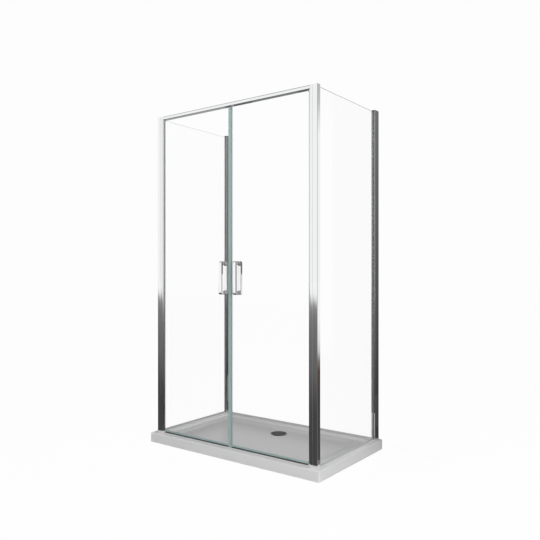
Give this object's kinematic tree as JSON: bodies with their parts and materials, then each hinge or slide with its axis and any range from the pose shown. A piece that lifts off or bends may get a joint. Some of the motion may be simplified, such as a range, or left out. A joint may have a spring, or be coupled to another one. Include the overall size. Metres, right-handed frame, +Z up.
{
  "type": "rectangular shower enclosure",
  "caption": "Rectangular shower enclosure with a low tray, clear fixed side panes and a pair of pivoting glass front doors in bright metal framing.",
  "frame": {"origin": "middle of the tray's footprint, on the floor", "axes": "+X right along the door front, +Y to the wall behind, +Z up"},
  "size_m": [1.2, 0.7, 1.965],
  "materials": {
    "white_acrylic": "gloss white acrylic",
    "timber_board": "raw particle board",
    "grey_plastic": "moulded plastic",
    "cover_grey": "satin dark grey",
    "light_plastic": "moulded light plastic",
    "polished_metal": "bright polished metal",
    "steel": "plain steel",
    "clear_glass": "clear toughened glass",
    "translucent_seal": "translucent grey-green strip",
    "gasket_rubber": "soft grey rubber"
  },
  "bodies": {
    "enclosure": {"shower_tray": "white_acrylic", "tray_base_board": "timber_board", "tray_support_pads": "grey_plastic", "waste_body": "grey_plastic", "header_bracket_left": "grey_plastic", "header_bracket_right": "grey_plastic", "post_foot_left": "light_plastic", "post_foot_right": "light_plastic", "lower_pivot_bushes": "light_plastic", "upper_pivot_bushes": "light_plastic", "threshold_strip": "light_plastic", "corner_post_left": "polished_metal", "post_cap_left": "polished_metal", "wall_channel_left": "polished_metal", "corner_post_right": "polished_metal", "post_cap_right": "polished_metal", "wall_channel_right": "polished_metal", "header_rail": "polished_metal", "channel_caps": "polished_metal", "waste_flange": "steel", "header_screws": "steel", "side_glass_left": "clear_glass", "side_glass_right": "clear_glass", "panel_seal_left": "translucent_seal", "panel_seal_right": "translucent_seal", "waste_seal": "gasket_rubber", "post_gasket_left": "gasket_rubber", "channel_gasket_left": "gasket_rubber", "post_gasket_right": "gasket_rubber", "channel_gasket_right": "gasket_rubber"},
    "door_left": {"door_glass_left": "clear_glass", "hinge_stile_left": "polished_metal", "stile_gasket_left": "gasket_rubber", "pivot_pins_left": "steel", "meeting_seal_left": "translucent_seal", "drip_seal_left": "translucent_seal", "outer_handle_left": "polished_metal", "inner_handle_left": "polished_metal", "handle_studs_left": "steel", "handle_washers_left": "gasket_rubber"},
    "door_right": {"door_glass_right": "clear_glass", "hinge_stile_right": "polished_metal", "stile_gasket_right": "gasket_rubber", "pivot_pins_right": "steel", "meeting_seal_right": "translucent_seal", "drip_seal_right": "translucent_seal", "outer_handle_right": "polished_metal", "inner_handle_right": "polished_metal", "handle_studs_right": "steel", "handle_washers_right": "gasket_rubber"},
    "waste_cover": {"waste_cover": "cover_grey"}
  },
  "joints": [
    {"name": "left_door_swing", "type": "hinge", "parent": "enclosure", "child": "door_left", "pos_m": [-0.523, -0.309, 1], "axis": [0, 0, -1], "range_deg": [-85, 90]},
    {"name": "right_door_swing", "type": "hinge", "parent": "enclosure", "child": "door_right", "pos_m": [0.523, -0.309, 1], "axis": [0, 0, 1], "range_deg": [-85, 90]},
    {"name": "waste_cover_lift", "type": "slide", "parent": "enclosure", "child": "waste_cover", "axis": [0, 0, 1], "range_m": [0, 0.06]}
  ]
}
